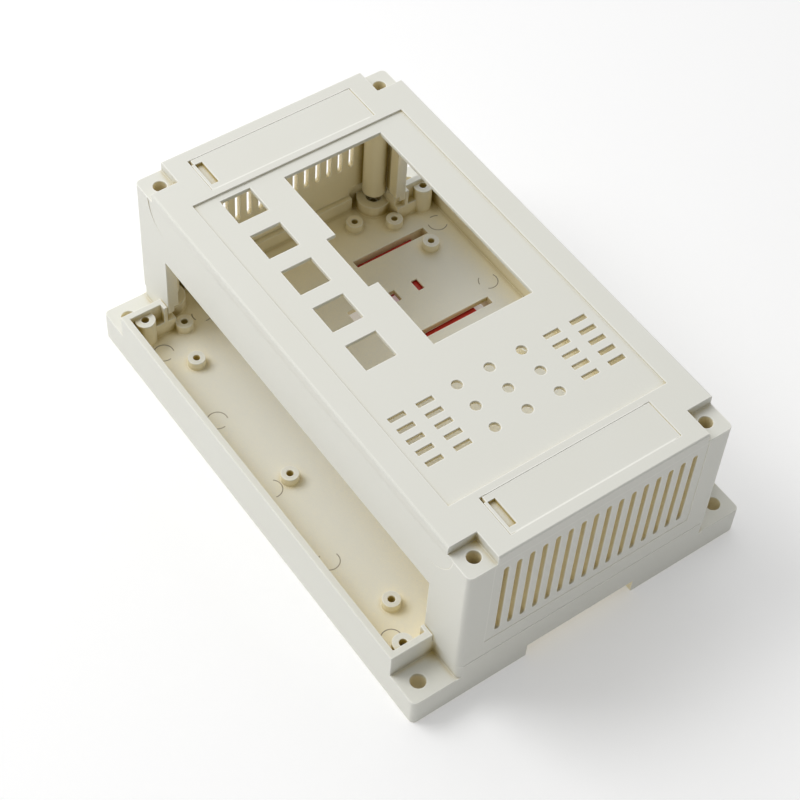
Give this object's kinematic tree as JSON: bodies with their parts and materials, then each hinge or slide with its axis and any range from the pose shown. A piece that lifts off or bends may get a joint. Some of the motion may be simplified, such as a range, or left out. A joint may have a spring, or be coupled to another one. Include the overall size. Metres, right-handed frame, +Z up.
{
  "type": "plastic plc enclosure",
  "caption": "Ivory plastic controller enclosure: base tray with open terminal bays and ears, vented cover with windows, hinged port lids, sliding red rail clips.",
  "frame": {"origin": "middle of the base's underside", "axes": "+Z up, X along the case, +Y towards the side where the rail clips are pulled out"},
  "size_m": [0.155, 0.11, 0.06],
  "materials": {
    "ivory_abs": "fine spark texture",
    "red_clip_plastic": "satin"
  },
  "bodies": {
    "case": {"base_tray": "ivory_abs", "top_cover": "ivory_abs"},
    "left_lid": {"left_port_lid": "ivory_abs"},
    "right_lid": {"right_port_lid": "ivory_abs"},
    "left_clip": {"left_rail_clip": "red_clip_plastic"},
    "right_clip": {"right_rail_clip": "red_clip_plastic"}
  },
  "joints": [
    {"name": "left_lid_hinge", "type": "hinge", "parent": "case", "child": "left_lid", "pos_m": [-0.0671, 0.0239, 0.05897], "axis": [-1, 0, 0], "range_deg": [0, 90]},
    {"name": "right_lid_hinge", "type": "hinge", "parent": "case", "child": "right_lid", "pos_m": [0.0671, 0.0239, 0.05897], "axis": [-1, 0, 0], "range_deg": [0, 90]},
    {"name": "left_clip_slide", "type": "slide", "parent": "case", "child": "left_clip", "axis": [0, 1, 0], "range_m": [0, 0.004]},
    {"name": "right_clip_slide", "type": "slide", "parent": "case", "child": "right_clip", "axis": [0, 1, 0], "range_m": [0, 0.004]}
  ]
}
